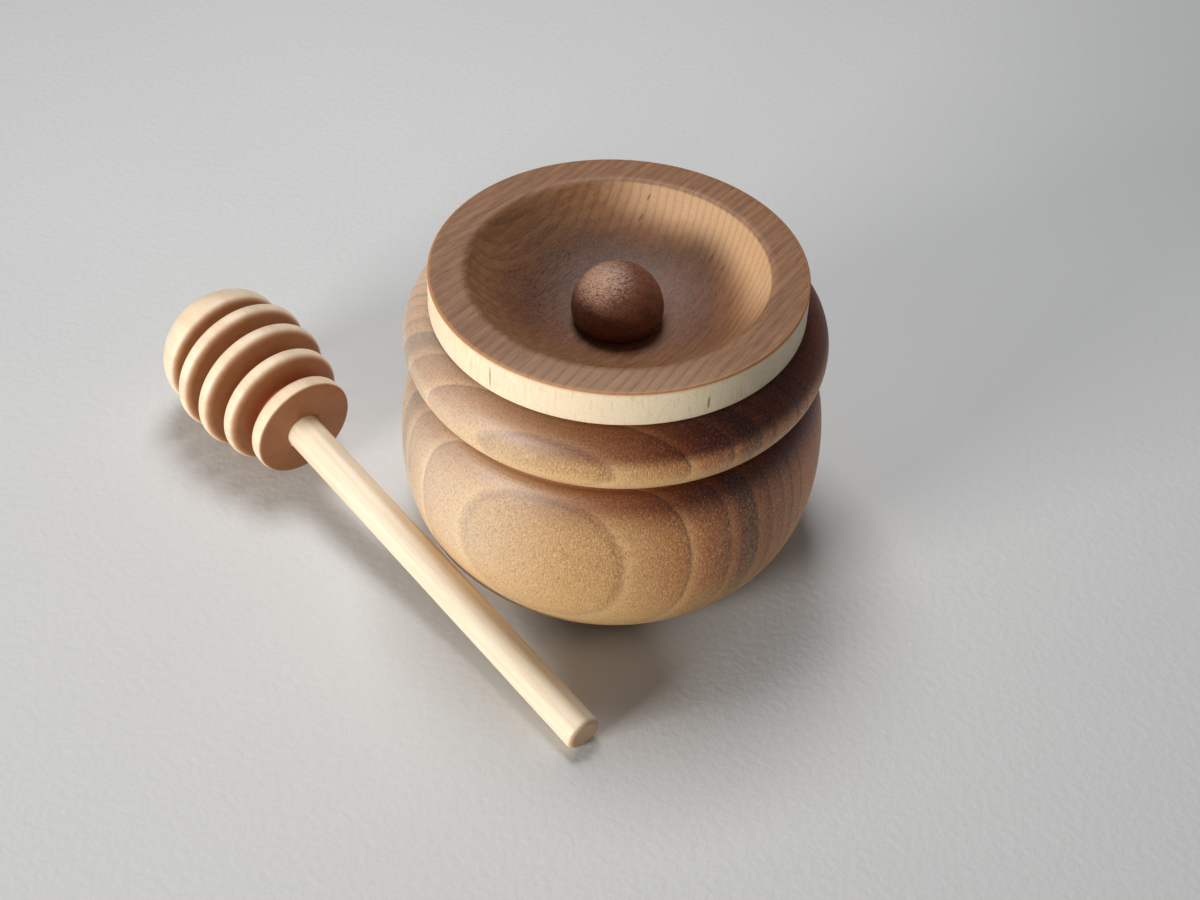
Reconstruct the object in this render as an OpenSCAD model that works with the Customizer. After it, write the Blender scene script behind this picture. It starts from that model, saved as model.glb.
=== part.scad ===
// A small turned wooden honey pot with a loose lid and its dipper.
// The pot stands on z = 0 with its axis on Z. The dipper lies on the same floor beside it.

/* [Pot] */
// Radius of the bowl at its fullest
bowl_r = 35.8; // [34:0.1:38]
// Height of the fullest place
bowl_z = 20.8; // [18:0.1:23]
// Radius of the flat that the pot stands on
foot_r = 21.6; // [18:0.1:25]
// Roundness of the bowl below its fullest place, where 2 is a plain ellipse
foot_power = 2.2; // [2:0.05:2.6]
// Radius where the bowl's shoulder ends, under the rim bead
shoulder_r = 31.7; // [31.2:0.1:33]
// Height where the bowl's shoulder ends
shoulder_z = 35.5; // [34:0.1:36]
// Radius of the bottom of the groove between the shoulder and the bead
groove_r = 31; // [29:0.1:31.4]
// Radius of the rim bead's round section
bead_r = 6.3; // [6:0.1:6.4]
// Radius of the circle that the bead's section is centred on
bead_ring_r = 28.7; // [28:0.1:29.5]
// Thickness of the pot's floor
floor_t = 7; // [5:0.5:10]
// Radius of the round corner at the bottom of the cavity
cavity_corner_r = 8; // [4:0.5:12]

/* [Lid] */
// Height of the lid's rim above the floor
rim_z = 55; // [54:0.1:56]
// Radius of the lid's disc
lid_r = 30.8; // [28:0.1:34]
// Thickness of the lid's disc at its edge
lid_t = 6.5; // [5:0.1:7]
// Radius of the rounded outer edges of the disc
lid_edge_r = 0.4; // [0.2:0.1:1]
// Gap between the disc's underside and the bead's crest
lid_gap = 0.1; // [0.05:0.05:0.3]
// Radius of the dish turned into the top
dish_r = 24.8; // [22:0.1:27]
// Depth of the dish
dish_depth = 10.5; // [8:0.1:11]
// Radius of the flat middle of the dish
dish_flat_r = 6.5; // [6.4:0.1:9]
// Steepness of the dish's wall
dish_power = 2.2; // [1.8:0.1:3]
// Depth of the plug below the disc
plug_depth = 7.5; // [6.5:0.1:9]
// Gap between the plug and the pot's mouth, all round
plug_gap = 0.5; // [0.3:0.1:1]

/* [Knob] */
// Radius of the knob
knob_r = 7.6; // [6.5:0.1:8]
// Height of the knob's widest place above the middle of the dish
knob_waist = 2.6; // [2:0.1:3]
// Radius that rounds the knob in under its widest place
knob_under_r = 3.2; // [3:0.1:4]
// Radius of the tenon glued through the lid
tenon_r = 3; // [2:0.25:4]
// Gap for glue round the knob's tenon and round the stick
glue_gap = 0.05; // [0.05:0.05:0.1]
// Distance of the tenon's end above the plug's underside
tenon_short = 0.4; // [0.2:0.1:1]

/* [Dipper] */
// Radius of the stick, a quarter-inch dowel
stick_r = 3.175; // [3:0.025:3.4]
// Length of the stick outside the head
stick_out = 79.6; // [70:0.1:90]
// Depth of the blind hole that the stick is glued into
stick_in = 16; // [10:0.5:22]
// Radius that rounds the stick's free end
stick_round = 0.9; // [0.3:0.1:1.5]
// Number of rings on the head
ring_count = 5; // [4:1:5]
// Distance from one ring to the next
ring_pitch = 6; // [5.6:0.1:6.4]
// Half the thickness of a ring at its crest
ring_half = 1.7; // [1.5:0.1:2]
// Radius that rounds a ring's crest
ring_round = 1.6; // [1.2:0.1:1.6]
// Radius that rounds the edge of the head's flat face
face_round = 0.6; // [0.3:0.1:1.2]
// Radius of the barrel that the rings follow, where it is fullest
ring_max_r = 13.2; // [12:0.1:14]
// Place where the barrel is fullest, counted in rings from 0 at the stick
ring_max_at = 2.65; // [2:0.05:3]
// How fast the rings get smaller away from the fullest place
ring_taper = 0.84; // [0.5:0.01:1]
// Roundness of the barrel, where 2 is a plain arc
ring_power = 1.5; // [1.2:0.1:2]
// Radius at the bottom of the grooves
core_r = 6; // [5.5:0.1:7.5]
// Amount by which a ring is thicker on each side at the bottom of the groove
ring_flare = 0.5; // [0:0.1:0.9]
// Length of the domed end past the widest place of the last ring
dome_length = 8.9; // [8:0.1:11]
// Fullness of the domed end, where 2 is a plain ellipse
dome_power = 1.8; // [1.6:0.05:2.2]
// Tilt of the head's own axis up from the floor, in degrees
head_tilt = 4; // [2:0.1:6]
// Sideways lean of the head on its stick, in degrees
head_lean = 1.1; // [0:0.1:3]
// Distance of the head's axis above the stick's, at the flat face
head_rise = 0.4; // [0:0.1:1]
// Distance of the head's axis from the stick's towards the pot, at the flat face
head_shift = 0.3; // [0:0.1:1]
// Place of the stick's free end on the floor, to the side of the pot
tip_x = -1.7; // [-10:0.1:10]
// Place of the stick's free end on the floor, in front of the pot
tip_y = -53.7; // [-60:0.1:-53]
// Direction from the free end to the head, in degrees from the X axis
dipper_turn = 131.7; // [130:0.1:133]

/* [Hidden] */
$fn = 96;
// Step in degrees along a curve that is drawn from a formula
curve_step = 5;
// Amount by which a cut runs past the face that it opens
past = 1;

// The bead's crest carries the lid, and its inner side is the mouth's wall
disc_z = rim_z - lid_t;
bead_z = disc_z - lid_gap - bead_r;
mouth_r = bead_ring_r - bead_r;
plug_r = mouth_r - plug_gap;
plug_z = disc_z - plug_depth;
dish_z = rim_z - dish_depth;
knob_z = dish_z + knob_waist;
plug_edge_r = 1;
dish_steps = 12;

// The head lies on the first of its rings to meet the floor, which sets the height of its flat face.
// The stick leans so that its free end touches the floor too.
face_z = max([for (i = [0 : ring_count - 1]) ring_drop(i)]);
stick_run = stick_out - stick_round;
stick_rise = stick_r - stick_round + head_rise;
dipper_tilt = asin((face_z - stick_round) / norm([stick_run, stick_rise])) - atan(stick_rise / stick_run);
tip_z = (stick_r - stick_round) * cos(dipper_tilt) + stick_round * (1 - sin(dipper_tilt));
// Step in degrees along the small curves of the head and the stick
turn_step = 22.5;
dome_step = 15;

// Distance of ring i from the head's flat face
function ring_place(i) = ring_half + ring_pitch * i;

// Radius of ring i, which follows a shallow barrel curve
function ring_radius(i) = ring_max_r - ring_taper * pow(abs(i - ring_max_at), ring_power);

// Drop from the middle of the flat face to the lowest point of ring i
function ring_drop(i) =
    (ring_radius(i) - ring_round) * cos(head_tilt) + ring_round
    - (ring_place(i) - ring_half + ring_round) * sin(head_tilt);

// Points of a quarter circle of radius r round [x, z], from the angle a0 on
function corner(x, z, r, a0) = [for (a = [0 : turn_step : 90]) [x + r * cos(a0 + a), z + r * sin(a0 + a)]];

// Point at angle a on a quarter of an ellipse-like curve from [r0, z0] out to [r1, z0 or z1]
function quarter(a, r0, r1, z0, z1, power) =
    [r0 + (r1 - r0) * pow(cos(a), 2 / power), z0 + (z1 - z0) * pow(sin(a), 2 / power)];

// Height of the dish's surface at radius r
function dish_height(r) =
    dish_z + dish_depth * pow(max(0, r - dish_flat_r) / (dish_r - dish_flat_r), dish_power);

// Right half of a turned outline: a block with both outer corners rounded
module rounded_block(r, z0, z1, round_r) {
    translate([0, z0]) square([r - round_r, z1 - z0]);
    translate([0, z0 + round_r]) square([r, z1 - z0 - 2 * round_r]);
    for (z = [z0 + round_r, z1 - round_r]) {
        translate([r - round_r, z]) circle(round_r);
    }
}

module bowl_outline() {
    polygon(concat(
        [[0, 0]],
        [for (a = [90 : -curve_step : 0]) quarter(a, foot_r, bowl_r, bowl_z, 0, foot_power)],
        [for (a = [curve_step : curve_step : 90]) quarter(a, shoulder_r, bowl_r, bowl_z, shoulder_z, 2)],
        [[0, shoulder_z]]
    ));
}

module cavity_outline() {
    translate([0, floor_t]) {
        square([mouth_r - cavity_corner_r, rim_z]);
        translate([mouth_r - cavity_corner_r, cavity_corner_r]) circle(cavity_corner_r);
        translate([0, cavity_corner_r]) square([mouth_r, rim_z]);
    }
}

module pot() {
    color([0.74, 0.55, 0.35])
    rotate_extrude()
    difference() {
        union() {
            bowl_outline();
            translate([0, bowl_z]) square([groove_r, bead_z - bowl_z]);
            translate([bead_ring_r, bead_z]) circle(bead_r);
        }
        cavity_outline();
    }
}

module dish_outline() {
    step = (dish_r - dish_flat_r) / dish_steps;
    polygon(concat(
        [[0, rim_z + past], [0, dish_z]],
        [for (i = [0 : dish_steps]) [dish_flat_r + i * step, dish_height(dish_flat_r + i * step)]],
        [[dish_r, rim_z + past]]
    ));
}

module lid() {
    color([0.87, 0.73, 0.53])
    difference() {
        rotate_extrude()
        difference() {
            union() {
                rounded_block(lid_r, disc_z, rim_z, lid_edge_r);
                rounded_block(plug_r, plug_z, disc_z + 2 * plug_edge_r, plug_edge_r);
            }
            dish_outline();
        }
        translate([0, 0, plug_z - past]) cylinder(r = tenon_r + glue_gap, h = dish_z - plug_z + 2 * past);
    }
}

module knob() {
    color([0.50, 0.33, 0.23]) {
        rotate_extrude()
        intersection() {
            union() {
                translate([0, knob_z]) circle(knob_r);
                translate([knob_r - knob_under_r, knob_z]) circle(knob_under_r);
                translate([0, dish_z]) square([knob_r - knob_under_r, knob_waist]);
            }
            union() {
                translate([0, knob_z]) square([knob_r, knob_r]);
                translate([0, dish_z]) square([knob_r, knob_waist]);
            }
        }
        translate([0, 0, plug_z + tenon_short]) cylinder(r = tenon_r, h = knob_z - plug_z - tenon_short);
    }
}

// Puts a piece along the stick, with its free end at the origin and the head up Z
module on_stick() {
    translate([tip_x, tip_y, tip_z]) rotate([0, 90 - dipper_tilt, dipper_turn]) children();
}

// Puts a piece on the head's own axis, with the flat face at the origin and the dome up Z
module on_head() {
    on_stick()
    translate([-head_rise, -head_shift, stick_out])
    rotate([-head_lean, dipper_tilt - head_tilt, 0])
    children();
}

// Half of a ring from its crest to the side that faces the stick
function ring_front(i) =
    let (z = ring_place(i) - ring_half)
    concat([[core_r, z - ring_flare]], corner(ring_radius(i) - ring_round, z + ring_round, ring_round, -90));

// Half of a ring from its crest to the side that faces the dome
function ring_back(i) =
    let (z = ring_place(i) + ring_half)
    concat(corner(ring_radius(i) - ring_round, z - ring_round, ring_round, 0), [[core_r, z + ring_flare]]);

// Flat face and rounded edge of the ring at the stick
function face_front() =
    concat([[0, 0]], corner(ring_radius(0) - face_round, face_round, face_round, -90));

// Domed end, from the crest of ring i to the tip
function dome(i) = [
    for (a = [0 : dome_step : 90])
    quarter(a, 0, ring_radius(i), ring_place(i), ring_place(i) + dome_length, dome_power)
];

module head_outline() {
    last = ring_count - 1;
    polygon(concat(
        face_front(),
        ring_back(0),
        [for (i = [1 : last - 1]) each concat(ring_front(i), ring_back(i))],
        ring_front(last),
        dome(last)
    ));
}

module dipper_head() {
    color([0.88, 0.69, 0.49])
    difference() {
        on_head() rotate_extrude() head_outline();
        on_stick() translate([0, 0, stick_out - past]) cylinder(r = stick_r + glue_gap, h = stick_in + past);
    }
}

module dipper_stick() {
    color([0.94, 0.84, 0.63])
    on_stick()
    rotate_extrude()
    polygon(concat(
        [[0, 0]],
        corner(stick_r - stick_round, stick_round, stick_round, -90),
        [[stick_r, stick_out + stick_in], [0, stick_out + stick_in]]
    ));
}

pot();
lid();
knob();
dipper_head();
dipper_stick();
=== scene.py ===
from math import asin, atan, cos, hypot, pi, radians, sin, sqrt

import bmesh
import bpy
from mathutils import Euler, Matrix, Vector


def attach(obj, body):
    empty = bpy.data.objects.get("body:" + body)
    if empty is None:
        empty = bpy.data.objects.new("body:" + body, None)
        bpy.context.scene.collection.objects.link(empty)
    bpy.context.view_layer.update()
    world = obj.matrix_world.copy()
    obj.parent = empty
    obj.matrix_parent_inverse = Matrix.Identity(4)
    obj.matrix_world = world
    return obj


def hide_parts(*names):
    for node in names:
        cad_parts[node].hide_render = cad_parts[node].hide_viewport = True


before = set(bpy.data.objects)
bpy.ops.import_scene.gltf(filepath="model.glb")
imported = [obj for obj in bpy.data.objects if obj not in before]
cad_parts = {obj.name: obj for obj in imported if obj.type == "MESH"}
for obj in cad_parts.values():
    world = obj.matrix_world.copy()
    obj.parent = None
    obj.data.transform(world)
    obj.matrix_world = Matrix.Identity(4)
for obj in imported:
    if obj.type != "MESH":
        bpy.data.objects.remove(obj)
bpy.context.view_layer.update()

# The table and the light. The set stands on a pale matt tabletop. One soft lamp shines from low on
# the left and in front, another from high up behind the pot, and an even grey room fills in.
MM = 0.001
TABLE_HALF, TABLE_GREY, TABLE_PALE = 3.0, (209, 209, 209), (214, 214, 213)
POT_MIDDLE = Vector((0, 0, 0.03))


def put(tree, kind, values=None, **settings):
    """Adds a shader node; values are numbers or other nodes' outputs for its inputs."""
    node = tree.nodes.new("ShaderNode" + kind)
    for name, value in settings.items():
        setattr(node, name, value)
    for name, value in (values or {}).items():
        if isinstance(value, bpy.types.NodeSocket):
            tree.links.new(value, node.inputs[name])
        else:
            node.inputs[name].default_value = value
    return node


def blend_colour(tree, amount, first, second, how="MIX"):
    """Lays the second colour over the first by amount."""
    values = {0: amount, 6: first, 7: second}
    return put(tree, "Mix", values, data_type="RGBA", blend_type=how).outputs[2]


def colour(red, green, blue):
    """A colour given as it looks on a screen, from 0 to 255."""
    parts = [part / 255 for part in (red, green, blue)]
    linear = [p / 12.92 if p <= 0.04045 else ((p + 0.055) / 1.055) ** 2.4 for p in parts]
    return (*linear, 1.0)


def noise(tree, vector, scale, detail=2.0, rough=0.5):
    """Cloudy noise between 0 and 1."""
    values = {"Vector": vector, "Scale": scale, "Detail": detail, "Roughness": rough}
    return put(tree, "TexNoise", values).outputs[0]


def new_finish(name, place=(0, 0, 0), turn=(0, 0, 0)):
    """A material, its node tree and shader, and a point in millimetres along its own axes."""
    finish = bpy.data.materials.new(name)
    finish.use_nodes = True
    tree = finish.node_tree
    shader = tree.nodes["Principled BSDF"]
    here = put(tree, "TexCoord").outputs["Object"]
    values = {"Vector": here, "Location": place, "Rotation": turn, "Scale": (MM, MM, MM)}
    axes = put(tree, "Mapping", values, vector_type="TEXTURE")
    return finish, tree, shader, axes.outputs[0]


def raise_grain(tree, shader, height, distance):
    """Feeds a height that changes over the surface to the shader as bump."""
    values = {"Height": height, "Distance": distance * MM, "Strength": 1.0}
    tree.links.new(put(tree, "Bump", values).outputs[0], shader.inputs["Normal"])


table_finish, tree, shader, here = new_finish("table_top")
cloud = noise(tree, here, 0.02, 3.0)
pale = blend_colour(tree, cloud, colour(*TABLE_GREY), colour(*TABLE_PALE))
tree.links.new(pale, shader.inputs["Base Color"])
raise_grain(tree, shader, noise(tree, here, 0.7, 2.0), 0.07)
shader.inputs["Roughness"].default_value = 0.6
shader.inputs["Specular IOR Level"].default_value = 0.3

bm = bmesh.new()
bmesh.ops.create_grid(bm, x_segments=1, y_segments=1, size=TABLE_HALF)
mesh = bpy.data.meshes.new("table_top")
bm.to_mesh(mesh)
bm.free()
table_top = bpy.data.objects.new("table_top", mesh)
bpy.context.scene.collection.objects.link(table_top)
table_top.data.materials.append(table_finish)

room = bpy.data.worlds.new("room")
room.use_nodes = True
room.node_tree.nodes["Background"].inputs["Color"].default_value = (0.96, 0.98, 1.0, 1.0)
room.node_tree.nodes["Background"].inputs["Strength"].default_value = 0.13
bpy.context.scene.world = room


def soft_lamp(name, azimuth, height, distance, wide, tall, power, tint):
    """A rectangular soft lamp that faces the pot's middle."""
    lamp = bpy.data.lights.new(name, "AREA")
    lamp.shape = "RECTANGLE"
    lamp.size = wide
    lamp.size_y = tall
    lamp.energy = power
    lamp.color = tint
    holder = bpy.data.objects.new(name, lamp)
    a, e = radians(azimuth), radians(height)
    away = Vector((cos(a) * cos(e), sin(a) * cos(e), sin(e)))
    holder.location = POT_MIDDLE + away * distance
    holder.rotation_euler = (-away).to_track_quat("-Z", "Y").to_euler()
    holder.visible_camera = False
    bpy.context.scene.collection.objects.link(holder)


soft_lamp("low_front_left", 223, 11, 0.8, 0.32, 0.16, 6.5, (1.0, 0.98, 0.95))
soft_lamp("high_back", 108, 68, 0.42, 0.18, 0.18, 1.2, (0.98, 0.99, 1.0))

camera = bpy.data.cameras.new("camera")
camera.sensor_width = 36.0
camera.lens = 61.607
eye = bpy.data.objects.new("camera", camera)
eye.location = (0, -0.26295, 0.25586)
looks_at = Vector((-0.001624, -0.01939, 0.033))
roll = Matrix.Rotation(radians(2.638), 3, "Z")
aimed = (looks_at - eye.location).to_track_quat("-Z", "Y").to_matrix()
eye.rotation_euler = (aimed @ roll).to_euler()
bpy.context.scene.collection.objects.link(eye)
bpy.context.scene.camera = eye
bpy.context.scene.view_settings.view_transform = "Standard"

# The pot. It is turned from one block of brown hardwood whose trunk stood upright in it, so the
# growth rings cut the bowl and the bead in long upright curves and close to ovals in front.
BOWL_R, BOWL_Z, FOOT_R, FOOT_POWER = 35.8, 20.8, 21.6, 2.2
SHOULDER_R, SHOULDER_Z, GROOVE_R = 31.7, 35.5, 31.0
BEAD_R, BEAD_RING_R, BEAD_Z = 6.3, 28.7, 42.1
FLOOR_T, CORNER_R, MOUTH_R = 7.0, 8.0, 22.4
BEAD_FROM = -90 + 21.4
OVAL_TURN, PITH_AWAY, BACK_RING, LATHE_MARK = radians(-107.6), 170.0, 2.7, 0.42


def arc(middle_r, middle_z, radius, start, end, steps):
    """Points on a circle in the lathe's plane, from one angle to another in degrees."""
    points = []
    for i in range(steps + 1):
        a = radians(start + (end - start) * i / steps)
        points.append((middle_r + radius * cos(a), middle_z + radius * sin(a)))
    return points


def flat(start, end, steps):
    """Evenly spaced points from start to just before end."""
    r0, z0 = start
    r1, z1 = end
    return [(r0 + (r1 - r0) * i / steps, z0 + (z1 - z0) * i / steps) for i in range(steps)]


def quarter(r0, r1, z0, z1, power, steps, backwards=False):
    """A quarter of an ellipse-like curve, from its widest point to its end."""
    points = []
    for i in range(steps + 1):
        a = radians(90 * i / steps)
        reach = max(cos(a), 0) ** (2 / power)
        points.append((r0 + (r1 - r0) * reach, z0 + (z1 - z0) * sin(a) ** (2 / power)))
    return points[::-1] if backwards else points


def turned(outline, steps, closed=False):
    """A piece off the lathe: an outline in millimetres, spun about the upright axis."""
    bm = bmesh.new()
    marks = [bm.verts.new((r * MM, 0, z * MM)) for r, z in outline]
    following = marks[1:] + marks[:1] if closed else marks[1:]
    for first, second in zip(marks, following):
        bm.edges.new((first, second))
    spun = bm.verts[:] + bm.edges[:]
    bmesh.ops.spin(
        bm, geom=spun, cent=(0, 0, 0), axis=(0, 0, 1), angle=2 * pi, steps=steps, use_merge=True
    )
    bmesh.ops.remove_doubles(bm, verts=bm.verts, dist=1e-7)
    bmesh.ops.recalc_face_normals(bm, faces=bm.faces)
    return bm


def finished(bm, name, finish, body, node):
    """Makes the mesh an object that stands for its CAD node and rides on its body."""
    for face in bm.faces:
        face.smooth = True
    mesh = bpy.data.meshes.new(name)
    bm.to_mesh(mesh)
    bm.free()
    piece = bpy.data.objects.new(name, mesh)
    bpy.context.scene.collection.objects.link(piece)
    piece.data.materials.append(finish)
    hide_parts(node)
    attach(piece, body)
    return piece


def calc(tree, operation, *values):
    """One step of arithmetic between numbers or outputs."""
    return put(tree, "Math", dict(enumerate(values)), operation=operation).outputs[0]


def between(tree, value, low, high, to_low=0.0, to_high=1.0):
    """A smooth rise from to_low to to_high as value goes from low to high."""
    values = {0: value, 1: low, 2: high, 3: to_low, 4: to_high}
    return put(tree, "MapRange", values, interpolation_type="SMOOTHSTEP").outputs[0]


def times(tree, *values):
    """The product of two or more numbers or outputs."""
    product = values[0]
    for value in values[1:]:
        product = calc(tree, "MULTIPLY", product, value)
    return product


def split(tree, point):
    """The x, y and z of a point or a direction."""
    return put(tree, "SeparateXYZ", {0: point}).outputs


def shaded(tree, amount, base, tone):
    """Darkens a colour by amount towards its product with a tone."""
    return blend_colour(tree, amount, base, tone, "MULTIPLY")


def new_effect(name, inputs, outputs):
    """A node group with named inputs and outputs: its tree, input sockets and result node."""
    tree = bpy.data.node_groups.new(name, "ShaderNodeTree")
    for label, value in inputs.items():
        kind = "NodeSocketVector" if value is None else "NodeSocketFloat"
        socket = tree.interface.new_socket(name=label, in_out="INPUT", socket_type=kind)
        if value is not None:
            socket.default_value = value
    for label in outputs:
        tree.interface.new_socket(name=label, in_out="OUTPUT", socket_type="NodeSocketFloat")
    given = tree.nodes.new("NodeGroupInput").outputs
    result = tree.nodes.new("NodeGroupOutput")
    return tree, given, result


def use_effect(tree, effect, values):
    """Places a node group in a material and returns its outputs."""
    node = put(tree, "Group", node_tree=effect)
    for name, value in values.items():
        if isinstance(value, bpy.types.NodeSocket):
            tree.links.new(value, node.inputs[name])
        else:
            node.inputs[name].default_value = value
    return node.outputs


# Distance across the growth rings from the blank's middle, with the rings bent round the pith
across_rings, given, result = new_effect(
    "across_rings", {"Point": None, "Pith": 150.0, "Wander": 0.5, "Grain Length": 30.0}, ["Across"]
)
parts = split(across_rings, given["Point"])
from_pith = calc(across_rings, "ADD", parts[0], given["Pith"])
squares = [calc(across_rings, "POWER", part, 2.0) for part in (from_pith, parts[1])]
squares = calc(across_rings, "ADD", *squares)
radius = calc(across_rings, "SUBTRACT", calc(across_rings, "SQRT", squares), given["Pith"])
values = {
    0: times(across_rings, parts[0], 0.09),
    1: times(across_rings, parts[1], 0.09),
    2: calc(across_rings, "DIVIDE", parts[2], given["Grain Length"]),
}
near = put(across_rings, "CombineXYZ", values).outputs[0]
sway = calc(across_rings, "SUBTRACT", noise(across_rings, near, 1.0, 2.0), 0.5)
sway = times(across_rings, sway, given["Wander"], 2.0)
across_rings.links.new(calc(across_rings, "ADD", radius, sway), result.inputs["Across"])

# The thin dark line where each year's growth ends
year_marks, given, result = new_effect("year_marks", {"Count": 0.0, "Line": 0.05}, ["Line"])
phase = calc(year_marks, "FRACT", given["Count"])
after = between(year_marks, phase, 0.0, given["Line"], 1.0, 0.0)
before = between(year_marks, phase, 0.98, 1.0)
year_marks.links.new(calc(year_marks, "MAXIMUM", after, before), result.inputs["Line"])

# Fine fibres along the grain, broader streaks, and the speckle of pores and short fibre ends
wood_fibres, given, result = new_effect(
    "wood_fibres",
    {"Point": None, "Width": 0.25, "Length": 4.0, "Speck": 0.28},
    ["Fibre", "Speck", "Streak"],
)
parts = split(wood_fibres, given["Point"])


def stretched(width, length):
    """The point, with noise made so wide across the grain and so long along it."""
    values = {
        0: calc(wood_fibres, "DIVIDE", parts[0], width),
        1: calc(wood_fibres, "DIVIDE", parts[1], width),
        2: calc(wood_fibres, "DIVIDE", parts[2], length),
    }
    return put(wood_fibres, "CombineXYZ", values).outputs[0]


fine = noise(wood_fibres, stretched(given["Width"], given["Length"]), 1.0, 2.0, 0.6)
wood_fibres.links.new(between(wood_fibres, fine, 0.3, 0.7), result.inputs["Fibre"])
speck_length = times(wood_fibres, given["Speck"], 2.2)
specks = noise(wood_fibres, stretched(given["Speck"], speck_length), 1.0, 3.0, 0.7)
wood_fibres.links.new(between(wood_fibres, specks, 0.28, 0.72), result.inputs["Speck"])
broad_width = times(wood_fibres, given["Width"], 8.0)
broad_length = times(wood_fibres, given["Length"], 6.0)
broad = noise(wood_fibres, stretched(broad_width, broad_length), 1.0, 2.0)
wood_fibres.links.new(between(wood_fibres, broad, 0.3, 0.7), result.inputs["Streak"])


def fibres_in(tree, grain, width, length, speck):
    """The masks for a wood's fibres, streaks and specks, with their sizes in millimetres."""
    values = {"Point": grain, "Width": width, "Length": length, "Speck": speck}
    return use_effect(tree, wood_fibres, values)


def fleck(tree, place, turn, size):
    """A small mark on the wood: 1 inside an egg-shaped space around a place in millimetres."""
    values = {
        "Vector": put(tree, "TexCoord").outputs["Object"],
        "Location": [part * MM for part in place],
        "Rotation": (0, 0, radians(turn)),
        "Scale": [part * MM for part in size],
    }
    spot = put(tree, "Mapping", values, vector_type="TEXTURE").outputs[0]
    away = put(tree, "VectorMath", {0: spot}, operation="LENGTH").outputs["Value"]
    return between(tree, away, 0.55, 1.0, 1.0, 0.0)


def tone_ramp(tree, across, tones):
    """The wood's colour at each distance across the rings."""
    first, last = tones[0][0], tones[-1][0]
    share = calc(tree, "DIVIDE", calc(tree, "SUBTRACT", first, across), first - last)
    node = put(tree, "ValToRGB", {0: share})
    ramp = node.color_ramp
    for i, (place, tone) in enumerate(tones):
        at = (first - place) / (first - last)
        mark = ramp.elements[i] if i < 2 else ramp.elements.new(at)
        mark.position = at
        mark.color = colour(*tone)
    return node.outputs[0]


BACK_LINE, POT_FIBRE = (112, 70, 42), (226, 186, 134)
POT_BOUNCE_LIGHT, POT_GLINT = (244, 206, 148), (238, 200, 150)
SAPWOOD_AND_SHEEN, HEARTWOOD_AND_SHADE = (0.28, 0.29, 0.26, 1.0), (0.93, 0.52, 0.26, 1.0)
SOAKED_AND_SHADE, SOAKED_AND_SHADE_RIGHT = (0.44, 0.25, 0.18, 1.0), (0.42, 0.3, 0.3, 1.0)
POT_NICK, POT_PORES = (0.3, 0.2, 0.16, 1.0), (0.55, 0.47, 0.4, 1.0)
# The wood's tone at each distance in millimetres from the blank's middle, towards the oval
RING_TONES = [
    (36.0, (180, 139, 90)), (33.9, (172, 130, 80)), (33.6, (128, 84, 48)), (33.3, (202, 160, 108)),
    (32.4, (184, 142, 92)), (30.4, (176, 125, 74)), (28.95, (162, 110, 62)),
    (28.7, (122, 76, 44)), (28.4, (212, 170, 118)),
    (27.4, (178, 126, 77)), (25.4, (156, 104, 60)), (24.35, (146, 95, 55)), (24.1, (88, 52, 30)),
    (23.8, (194, 146, 97)), (22.9, (160, 108, 66)), (22.3, (118, 74, 44)), (20.4, (108, 66, 39)),
    (20.1, (84, 50, 29)), (19.7, (184, 136, 90)), (18.4, (172, 123, 80)), (17.4, (136, 90, 55)),
    (17.0, (186, 138, 92)), (15.0, (176, 127, 83)), (14.7, (112, 72, 44)), (14.3, (194, 147, 100)),
    (12.6, (178, 130, 86)), (12.3, (66, 38, 23)), (11.9, (190, 142, 97)), (9.9, (196, 148, 102)),
    (9.6, (128, 84, 52)), (9.1, (208, 160, 114)), (-36.0, (204, 157, 112)),
]
pot_finish, tree, shader, grain = new_finish("pot_brown_wood", turn=(0, 0, OVAL_TURN))
across = use_effect(
    tree, across_rings, {"Point": grain, "Pith": PITH_AWAY, "Wander": 0.45, "Grain Length": 30.0}
)["Across"]
wood = tone_ramp(tree, across, RING_TONES)
# Past the rings that show in front, the same kind of rings go on evenly to the back
count = calc(tree, "DIVIDE", across, -BACK_RING)
inner = use_effect(tree, year_marks, {"Count": count, "Line": 0.12})
behind = between(tree, across, 7.5, 9.0, 1.0, 0.0)
wood = blend_colour(tree, times(tree, inner["Line"], behind, 0.55), wood, colour(*BACK_LINE))
# The wood is paler on the left and redder on the right: partly sapwood and heartwood, partly a
# painted sheen on the lit left and painted shade on the right
here = split(tree, put(tree, "TexCoord").outputs["Object"])
sapwood_and_sheen = between(tree, here[0], -0.034, -0.004, 1.0, 0.0)
wood = blend_colour(tree, sapwood_and_sheen, wood, SAPWOOD_AND_SHEEN, "SCREEN")
wood = shaded(tree, between(tree, here[0], 0.0, 0.028), wood, HEARTWOOD_AND_SHADE)
fibres = fibres_in(tree, grain, width=0.3, length=1.7, speck=0.23)
wood = blend_colour(tree, times(tree, fibres["Fibre"], 0.18), wood, colour(*POT_FIBRE))
# It is painted paler where it faces down: painted light bounced up from the table
up = split(tree, put(tree, "TexCoord").outputs["Normal"])[2]
wood = blend_colour(tree, between(tree, up, 0.1, -0.5, 0.0, 0.48), wood, colour(*POT_BOUNCE_LIGHT))
# Where the bead and the shoulder face up, most of all on the right, the wood is darker: partly oil
# soaked into the end grain, partly painted shade under the lid's overhang
soaked_and_shade = between(tree, up, 0.1, 0.5)
soaked_and_shade = times(tree, soaked_and_shade, between(tree, here[0], -0.024, 0.004, 0.4, 1.0))
wood = shaded(tree, soaked_and_shade, wood, SOAKED_AND_SHADE)
soaked_and_shade = times(tree, soaked_and_shade, between(tree, here[0], 0.0, 0.016))
wood = shaded(tree, soaked_and_shade, wood, SOAKED_AND_SHADE_RIGHT)
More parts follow.
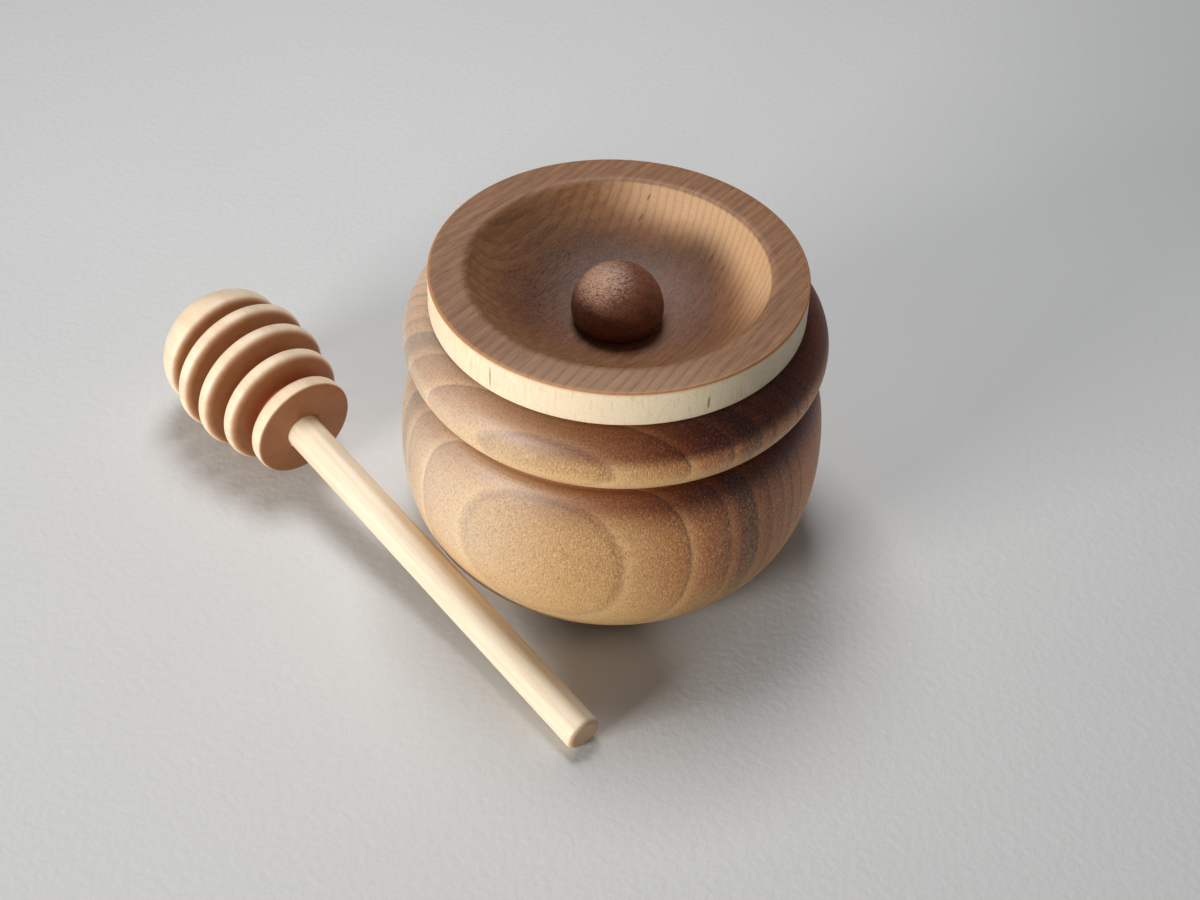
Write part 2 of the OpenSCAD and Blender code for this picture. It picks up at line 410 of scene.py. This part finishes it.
# One short dark nick stands on the left of the bowl
nick = fleck(tree, (-33.0, -13.3, 22.5), -158, (0.5, 0.22, 2.6))
wood = shaded(tree, nick, wood, POT_NICK)
wood = shaded(tree, between(tree, fibres["Speck"], 0.42, 0.08, 0.0, 0.75), wood, POT_PORES)
glints = between(tree, fibres["Speck"], 0.62, 0.95, 0.0, 0.5)
glints = times(tree, glints, between(tree, up, 0.05, 0.5, 1.0, 0.25))
wood = blend_colour(tree, glints, wood, colour(*POT_GLINT))
tree.links.new(wood, shader.inputs["Base Color"])
shader.inputs["Roughness"].default_value = 0.47
shader.inputs["Specular IOR Level"].default_value = 0.4
# The oil still has a satin sheen on the left
tree.links.new(between(tree, here[0], -0.024, 0.008, 0.9, 0.05), shader.inputs["Coat Weight"])
shader.inputs["Coat Roughness"].default_value = 0.5
# Faint lathe marks run round the pot in patches
turned_marks = calc(tree, "SINE", times(tree, here[2], 2 * pi / (LATHE_MARK * MM)))
patches = between(tree, noise(tree, grain, 0.11, 1.0), 0.5, 0.62)
marks_height = times(tree, turned_marks, patches, 0.35)
raise_grain(tree, shader, calc(tree, "ADD", fibres["Speck"], marks_height), 0.02)

foot = quarter(FOOT_R, BOWL_R, BOWL_Z, 0, FOOT_POWER, 32, backwards=True)
shoulder = quarter(SHOULDER_R, BOWL_R, BOWL_Z, SHOULDER_Z, 2, 22)
groove_top = BEAD_Z - sqrt(BEAD_R ** 2 - (GROOVE_R - BEAD_RING_R) ** 2)
outline = (
    flat((0, 0), (FOOT_R, 0), 10)
    + foot
    + shoulder[1:]
    + flat((GROOVE_R, SHOULDER_Z), (GROOVE_R, groove_top), 3)
    + arc(BEAD_RING_R, BEAD_Z, BEAD_R, BEAD_FROM, 180, 56)
    + flat((MOUTH_R, BEAD_Z - 1), (MOUTH_R, FLOOR_T + CORNER_R), 14)
    + arc(MOUTH_R - CORNER_R, FLOOR_T + CORNER_R, CORNER_R, 0, -90, 12)
    + flat((MOUTH_R - CORNER_R - 2, FLOOR_T), (0, FLOOR_T), 6)
    + [(0, FLOOR_T)]
)
pot = finished(turned(outline, 384), "turned_pot", pot_finish, "pot", "pot")

# The lid. It is a turned disc of paler wood with its grain lying flat, a dish in its top and a
# plug underneath that drops into the pot's mouth. Its top is painted browner than its pale edge:
# partly the wood's own tone, partly painted shade on the top and painted light on the edge.
RIM_Z, LID_R, DISC_Z, EDGE_R = 55.0, 30.8, 48.5, 0.4
DISH_R, DISH_Z, DISH_DEPTH, DISH_FLAT_R, DISH_POWER = 24.8, 44.5, 10.5, 6.5, 2.2
PLUG_R, PLUG_Z, PLUG_EDGE_R, TENON_HOLE_R = 21.9, 41.0, 1.0, 3.05
LID_GRAIN_TURN, LID_RING = radians(55), 1.55
LID_BROWN, LID_STREAK, LID_FRONT = (144, 98, 61), (117, 74, 43), (172, 134, 98)
DISH_WALL_LIGHT, LID_LINE, LID_FIBRE = (212, 172, 130), (88, 52, 30), (176, 134, 98)
SIDE_PALE, SIDE_FIBRE, SIDE_CORNER = (238, 222, 194), (228, 206, 170), (196, 134, 80)
DISH_FLOOR_STAIN_AND_SHADE, DISH_BACK_STAIN_AND_SHADE = (0.54, 0.3, 0.2, 1.0), (0.52, 0.36, 0.3, 1.0)
LID_FLECK, LID_PORES = (0.35, 0.25, 0.2, 1.0), (0.6, 0.5, 0.42, 1.0)
SIDE_CHECK, SIDE_CHIP = (0.4, 0.28, 0.2, 1.0), (0.45, 0.3, 0.2, 1.0)
SIDE_STREAK = (0.84, 0.72, 0.56, 1.0)
# Dark flecks in the top: x, y and half length in millimetres
FLECKS = [
    (3.2, 20.35, 0.9), (15.1, 11.6, 1.0), (17.05, 8.8, 0.7), (11.7, 23.1, 0.8), (18.4, 23.5, 0.7),
    (-12.65, 8.8, 1.0), (4.3, 14.0, 0.7), (4.4, 22.7, 0.6), (-27.5, -3.0, 0.9), (-28.9, 6.6, 0.8),
    (-22.5, -13.5, 0.8), (-8.0, -10.5, 0.7),
]


def dish_height(r):
    """Height of the dish's surface at radius r."""
    return DISH_Z + DISH_DEPTH * (max(0, r - DISH_FLAT_R) / (DISH_R - DISH_FLAT_R)) ** DISH_POWER


def distance_out(tree, x, y):
    """Distance from the axis that a piece was turned about."""
    flat_place = put(tree, "CombineXYZ", {0: x, 1: y}).outputs[0]
    return put(tree, "VectorMath", {0: flat_place}, operation="LENGTH").outputs["Value"]


dish_curve = [(r, dish_height(r)) for r in [DISH_R - 0.15 - i * 0.45 for i in range(41)]]
outline = (
    flat((TENON_HOLE_R, PLUG_Z), (PLUG_R - PLUG_EDGE_R, PLUG_Z), 10)
    + arc(PLUG_R - PLUG_EDGE_R, PLUG_Z + PLUG_EDGE_R, PLUG_EDGE_R, -90, 0, 6)
    + flat((PLUG_R, PLUG_Z + 2), (PLUG_R, DISC_Z), 5)
    + flat((PLUG_R, DISC_Z), (LID_R - EDGE_R, DISC_Z), 8)
    + arc(LID_R - EDGE_R, DISC_Z + EDGE_R, EDGE_R, -90, 0, 5)
    + flat((LID_R, DISC_Z + 1), (LID_R, RIM_Z - EDGE_R), 10)
    + arc(LID_R - EDGE_R, RIM_Z - EDGE_R, EDGE_R, 0, 90, 6)
    + flat((LID_R - 1, RIM_Z), (DISH_R, RIM_Z), 9)
    + dish_curve
    + flat((DISH_FLAT_R, DISH_Z), (TENON_HOLE_R, DISH_Z), 4)
    + flat((TENON_HOLE_R, DISH_Z), (TENON_HOLE_R, PLUG_Z), 4)
)
lid_finish, tree, shader, grain = new_finish("lid_pale_wood", turn=(0, radians(90), LID_GRAIN_TURN))
here = split(tree, put(tree, "TexCoord").outputs["Object"])
fibres = fibres_in(tree, grain, width=0.16, length=2.4, speck=0.2)
# The rings lean in the thickness of the lid, fan out a little along it, and wander
parts = split(tree, grain)
lean = calc(tree, "MULTIPLY_ADD", parts[0], 0.35, parts[1])
bend = times(tree, parts[2], parts[1], 0.0045)
sway = times(tree, noise(tree, grain, 0.03, 2.0), 5.0)
across = calc(tree, "ADD", calc(tree, "ADD", lean, bend), sway)
count = calc(tree, "DIVIDE", across, LID_RING)
marks = use_effect(tree, year_marks, {"Count": count, "Line": 0.5})
top_tone_and_shade = blend_colour(tree, fibres["Streak"], colour(*LID_BROWN), colour(*LID_STREAK))
in_front = between(tree, here[1], -0.029, -0.02, 0.5, 0.0)
top_tone_and_shade = blend_colour(tree, in_front, top_tone_and_shade, colour(*LID_FRONT))
# In the dish the wall at the back and right is painted paler than the top: painted light where the
# low lamp reaches in over the rim
painted_wall_light = between(tree, here[2], (DISH_Z + 3.0) * MM, (DISH_Z + 8.0) * MM)
below_rim = between(tree, here[2], (RIM_Z - 0.6) * MM, (RIM_Z - 0.1) * MM, 1.0, 0.0)
backward = calc(tree, "MULTIPLY_ADD", here[0], 0.8, times(tree, here[1], 0.6))
painted_wall_light = times(tree, painted_wall_light, below_rim, between(tree, backward, 0.008, 0.019, 0.0, 0.75))
top_tone_and_shade = blend_colour(tree, painted_wall_light, top_tone_and_shade, colour(*DISH_WALL_LIGHT))
# The dish floor is darker and browner: partly its own stained wood, partly painted shade in the
# hollow
sunk = between(tree, here[2], (DISH_Z + 0.1) * MM, (DISH_Z + 7) * MM, 1.0, 0.0)
in_dish = times(tree, sunk, between(tree, here[1], -0.015, 0.0, 0.3, 1.0))
top_tone_and_shade = shaded(tree, in_dish, top_tone_and_shade, DISH_FLOOR_STAIN_AND_SHADE)
# The back left of the dish is darker still: partly stain, partly painted shade where it faces away
# from the light
back_left = calc(tree, "SUBTRACT", here[1], here[0])
behind = times(tree, sunk, between(tree, back_left, 0.0, 0.016))
top_tone_and_shade = shaded(tree, behind, top_tone_and_shade, DISH_BACK_STAIN_AND_SHADE)
line_strength = calc(tree, "MULTIPLY_ADD", painted_wall_light, -0.34, 0.48)
lines = times(tree, marks["Line"], line_strength)
top_tone_and_shade = blend_colour(tree, lines, top_tone_and_shade, colour(*LID_LINE))
top_tone_and_shade = blend_colour(tree, times(tree, fibres["Fibre"], 0.28), top_tone_and_shade, colour(*LID_FIBRE))
for x, y, length in FLECKS:
    spot = fleck(tree, (x, y, RIM_Z - 4), 50, (length, 0.25, 9))
    top_tone_and_shade = shaded(tree, times(tree, spot, 0.65), top_tone_and_shade, LID_FLECK)
pores = between(tree, fibres["Speck"], 0.4, 0.05, 0.0, 0.45)
top_tone_and_shade = shaded(tree, pores, top_tone_and_shade, LID_PORES)
pale = blend_colour(tree, fibres["Fibre"], colour(*SIDE_PALE), colour(*SIDE_FIBRE))
# A drying check and a small chip stand in the side, in front
check = fleck(tree, (-18.9, -24.3, 51.5), -128, (0.6, 0.16, 2.6))
pale = shaded(tree, check, pale, SIDE_CHECK)
chip = fleck(tree, (14.6, -27.1, 51.0), -62, (0.6, 0.25, 1.6))
pale = shaded(tree, chip, pale, SIDE_CHIP)
# Fine upright streaks are left round the side by the lathe tool
round_side = times(tree, calc(tree, "ARCTAN2", here[1], here[0]), LID_R)
strip = put(tree, "CombineXYZ", {0: round_side, 2: times(tree, here[2], 180)}).outputs[0]
streaks = between(tree, noise(tree, strip, 1.6, 4.0, 0.7), 0.5, 0.72, 0.0, 0.8)
pale = shaded(tree, streaks, pale, SIDE_STREAK)
# The surfaces that face up take the browner top colour and the side, the plug and the underside
# stay pale: partly the wood's own two tones, partly painted shade on the top and painted light on
# the side
up = split(tree, put(tree, "TexCoord").outputs["Normal"])[2]
wood = blend_colour(tree, between(tree, up, 0.05, 0.4), pale, top_tone_and_shade)
# A browner line is left where the side meets the top
reach = distance_out(tree, here[0], here[1])
outside = between(tree, reach, (LID_R - 0.6) * MM, (LID_R - 0.2) * MM)
corner = between(tree, here[2], (RIM_Z - 0.9) * MM, (RIM_Z - 0.25) * MM)
wood = blend_colour(tree, times(tree, corner, outside, 0.5), wood, colour(*SIDE_CORNER))
tree.links.new(wood, shader.inputs["Base Color"])
shader.inputs["Roughness"].default_value = 0.52
raise_grain(tree, shader, fibres["Fibre"], 0.02)
lid = finished(turned(outline, 448, closed=True), "dished_lid", lid_finish, "lid", "lid")

# The knob. It is a small dark ball turned in one with its tenon, which is glued through the lid.
# Its crown is painted paler and greyer up and to the left as a painted sheen, and its lower half
# carries painted shade.
KNOB_R, KNOB_Z, KNOB_UNDER_R = 7.6, 47.1, 3.2
TENON_R, TENON_END_Z, WAIST_FROM = 3.0, 41.4, -54.34
KNOB_BROWN, KNOB_STREAK = (122, 66, 36), (88, 43, 21)
KNOB_FIBRE, KNOB_SHEEN = (150, 94, 60), (172, 140, 116)
KNOB_LOWER_SHADE, KNOB_PORES = (0.6, 0.42, 0.34, 1.0), (0.5, 0.4, 0.35, 1.0)
SHEEN_WAY = (-0.42, -0.1, 0.9)


def facing(tree, direction):
    """How squarely the surface faces a direction: 1 when it does, -1 when it faces away."""
    values = {0: put(tree, "TexCoord").outputs["Normal"], 1: direction}
    return put(tree, "VectorMath", values, operation="DOT_PRODUCT").outputs["Value"]


waist_r = KNOB_R - KNOB_UNDER_R
waist_start = waist_r + KNOB_UNDER_R * cos(asin((KNOB_Z - DISH_Z) / KNOB_UNDER_R))
outline = (
    flat((0, TENON_END_Z), (TENON_R, TENON_END_Z), 4)
    + flat((TENON_R, TENON_END_Z), (TENON_R, DISH_Z), 6)
    + flat((TENON_R, DISH_Z), (waist_start, DISH_Z), 4)
    + arc(waist_r, KNOB_Z, KNOB_UNDER_R, WAIST_FROM, 0, 10)
    + arc(0, KNOB_Z, KNOB_R, 0, 90, 40)[1:]
)
knob_finish, tree, shader, grain = new_finish("knob_dark_wood", turn=(0, radians(90), radians(20)))
fibres = fibres_in(tree, grain, width=0.2, length=0.7, speck=0.24)
wood = blend_colour(tree, fibres["Streak"], colour(*KNOB_BROWN), colour(*KNOB_STREAK))
wood = blend_colour(tree, times(tree, fibres["Fibre"], 0.3), wood, colour(*KNOB_FIBRE))
uneven = times(tree, calc(tree, "SUBTRACT", fibres["Speck"], 0.5), 0.4)
# A painted sheen lies on the side that faces up and to the left
painted_sheen = calc(tree, "ADD", facing(tree, SHEEN_WAY), uneven)
wood = blend_colour(tree, between(tree, painted_sheen, 0.7, 1.02, 0.0, 0.75), wood, colour(*KNOB_SHEEN))
up = split(tree, put(tree, "TexCoord").outputs["Normal"])[2]
# The lower half is painted darker as shade
wood = shaded(tree, between(tree, up, 0.35, -0.2), wood, KNOB_LOWER_SHADE)
wood = shaded(tree, between(tree, fibres["Speck"], 0.45, 0.1, 0.0, 0.85), wood, KNOB_PORES)
tree.links.new(wood, shader.inputs["Base Color"])
shader.inputs["Roughness"].default_value = 0.55
raise_grain(tree, shader, fibres["Speck"], 0.03)
knob = finished(turned(outline, 160), "ball_knob", knob_finish, "lid", "knob")

# The dipper's head. It is turned from pale wood: five rings with deep grooves between them, a domed
# end, and a flat face with a blind hole that the stick is glued into.
STICK_R, STICK_OUT, STICK_IN, STICK_ROUND, HOLE_R = 3.175, 79.6, 16.0, 0.9, 3.225
RING_COUNT, RING_PITCH, RING_HALF, RING_ROUND, RING_FLARE = 5, 6.0, 1.7, 1.6, 0.5
RING_MAX_R, RING_MAX_AT, RING_TAPER, RING_POWER = 13.2, 2.65, 0.84, 1.5
FACE_ROUND, CORE_R, DOME_LENGTH, DOME_POWER = 0.6, 6.0, 8.9, 1.8
HEAD_TILT, HEAD_LEAN, HEAD_RISE, HEAD_SHIFT = radians(4), radians(1.1), 0.4, 0.3
TIP_X, TIP_Y, DIPPER_TURN = -1.7, -53.7, radians(131.7)
HEAD_PALE, HEAD_STREAK, HEAD_FIBRE = (236, 213, 184), (227, 198, 164), (244, 226, 202)
FLANK_END_GRAIN_AND_SHADE, GROOVE_SHADE = (0.44, 0.23, 0.12, 1.0), (0.64, 0.32, 0.18, 1.0)


def ring_place(i):
    """Distance of the middle of ring i from the flat face."""
    return RING_HALF + RING_PITCH * i


def ring_radius(i):
    """Radius of ring i, which is largest between the third and the fourth ring."""
    return RING_MAX_R - RING_TAPER * abs(i - RING_MAX_AT) ** RING_POWER


def ring_drop(i):
    """Drop from the middle of the flat face to the lowest point of ring i."""
    sunk = (ring_place(i) - RING_HALF + RING_ROUND) * sin(HEAD_TILT)
    return (ring_radius(i) - RING_ROUND) * cos(HEAD_TILT) + RING_ROUND - sunk


# The dipper lies on the end of its stick and on its widest ring, which sets its slope
face_z = max(ring_drop(i) for i in range(RING_COUNT))
stick_run = STICK_OUT - STICK_ROUND
stick_rise = STICK_R - STICK_ROUND + HEAD_RISE
tilt = asin((face_z - STICK_ROUND) / hypot(stick_run, stick_rise)) - atan(stick_rise / stick_run)
tip_z = (STICK_R - STICK_ROUND) * cos(tilt) + STICK_ROUND * (1 - sin(tilt))
stick_turn = Euler((0, radians(90) - tilt, DIPPER_TURN)).to_matrix().to_4x4()
stick_place = Matrix.Translation(Vector((TIP_X, TIP_Y, tip_z)) * MM) @ stick_turn
on_stick = Matrix.Translation(Vector((-HEAD_RISE, -HEAD_SHIFT, STICK_OUT)) * MM)
head_turn = Euler((-HEAD_LEAN, tilt - HEAD_TILT, 0)).to_matrix().to_4x4()
head_place = stick_place @ on_stick @ head_turn

outline = flat((HOLE_R, 0), (ring_radius(0) - FACE_ROUND, 0), 12)
for i in range(RING_COUNT):
    r, z = ring_radius(i), ring_place(i)
    edge = FACE_ROUND if i == 0 else RING_ROUND
    outline += arc(r - edge, z - RING_HALF + edge, edge, -90, 0, 12)
    if i < RING_COUNT - 1:
        groove_from = z + RING_HALF + RING_FLARE
        groove_to = z + RING_PITCH - RING_HALF - RING_FLARE
        next_ring = (ring_radius(i + 1) - RING_ROUND, z + RING_PITCH - RING_HALF)
        outline += arc(r - RING_ROUND, z + RING_HALF - RING_ROUND, RING_ROUND, 0, 90, 12)
        outline += flat((r - RING_ROUND, z + RING_HALF), (CORE_R, groove_from), 8)[1:]
        outline += flat((CORE_R, groove_from), (CORE_R, groove_to), 3)
        outline += flat((CORE_R, groove_to), next_ring, 8)
last = RING_COUNT - 1
crest_z = ring_place(last)
outline += quarter(0, ring_radius(last), crest_z, crest_z + DOME_LENGTH, DOME_POWER, 40)
head_finish, tree, shader, grain = new_finish(
    "head_pale_wood", place=head_place.translation, turn=head_place.to_euler()
)
fibres = fibres_in(tree, grain, width=0.25, length=3.0, speck=0.25)
wood = blend_colour(tree, fibres["Streak"], colour(*HEAD_PALE), colour(*HEAD_STREAK))
wood = blend_colour(tree, times(tree, fibres["Fibre"], 0.3), wood, colour(*HEAD_FIBRE))
# The flat flanks cut straight across the grain and are darker than the crests: partly end grain,
# partly painted shade on the sides that face away from the light
axis = head_place.to_3x3() @ Vector((0, 0, 1))
wood = shaded(tree, between(tree, facing(tree, tuple(axis)), -0.35, -0.95), wood, FLANK_END_GRAIN_AND_SHADE)
# The bottoms of the grooves get painted shade too, but not the flat face or the dome
parts = split(tree, grain)
groove_shade = times(
    tree,
    between(tree, distance_out(tree, parts[0], parts[1]), CORE_R, 10.5, 0.9, 0.0),
    between(tree, parts[2], 1.0, 2.5),
    between(tree, parts[2], crest_z - 1, crest_z + 1, 1.0, 0.0),
)
wood = shaded(tree, groove_shade, wood, GROOVE_SHADE)
tree.links.new(wood, shader.inputs["Base Color"])
shader.inputs["Roughness"].default_value = 0.5
raise_grain(tree, shader, fibres["Fibre"], 0.01)
bm = turned(outline, 240)
# The hole is drilled round the stick's own axis, which leans a little inside the head
to_head = head_place.inverted() @ stick_place
drill = to_head.to_3x3() @ Vector((0, 0, 1))
for vert in bm.verts:
    if hypot(vert.co.x, vert.co.y) < (HOLE_R + 0.1) * MM and abs(vert.co.z) < 0.1 * MM:
        vert.co = to_head @ Vector((vert.co.x, vert.co.y, STICK_OUT * MM))
        vert.co -= drill * (vert.co.z / drill.z)
bore = bmesh.ops.extrude_edge_only(bm, edges=[edge for edge in bm.edges if edge.is_boundary])
for vert in [part for part in bore["geom"] if isinstance(part, bmesh.types.BMVert)]:
    vert.co += drill * STICK_IN * MM
bmesh.ops.holes_fill(bm, edges=[edge for edge in bm.edges if edge.is_boundary])
bmesh.ops.recalc_face_normals(bm, faces=bm.faces)
bmesh.ops.transform(bm, matrix=head_place, verts=bm.verts)
head = finished(bm, "ringed_head", head_finish, "dipper", "dipper_head")

# The dipper's stick. It is a plain quarter-inch dowel, pale and straight, with its free end
# rounded over and its other end glued into the head.
STICK_PALE, STICK_STREAK = (240, 226, 204), (231, 212, 184)
STICK_FIBRE, STICK_END = (212, 182, 140), (200, 158, 112)
outline = (
    flat((0, 0), (STICK_R - STICK_ROUND, 0), 5)
    + arc(STICK_R - STICK_ROUND, STICK_ROUND, STICK_ROUND, -90, 0, 12)
    + flat((STICK_R, 1), (STICK_R, STICK_OUT + STICK_IN), 94)
    + [(STICK_R, STICK_OUT + STICK_IN), (0, STICK_OUT + STICK_IN)]
)
stick_finish, tree, shader, grain = new_finish(
    "stick_pale_wood", place=stick_place.translation, turn=stick_place.to_euler()
)
fibres = fibres_in(tree, grain, width=0.16, length=7.0, speck=0.22)
wood = blend_colour(tree, fibres["Streak"], colour(*STICK_PALE), colour(*STICK_STREAK))
wood = blend_colour(tree, times(tree, fibres["Fibre"], 0.35), wood, colour(*STICK_FIBRE))
along = split(tree, grain)[2]
wood = blend_colour(tree, between(tree, along, 0.15, 0.6, 0.8, 0.0), wood, colour(*STICK_END))
tree.links.new(wood, shader.inputs["Base Color"])
shader.inputs["Roughness"].default_value = 0.42
raise_grain(tree, shader, fibres["Fibre"], 0.012)
bm = turned(outline, 96)
bmesh.ops.transform(bm, matrix=stick_place, verts=bm.verts)
stick = finished(bm, "dowel_stick", stick_finish, "dipper", "dipper_stick")
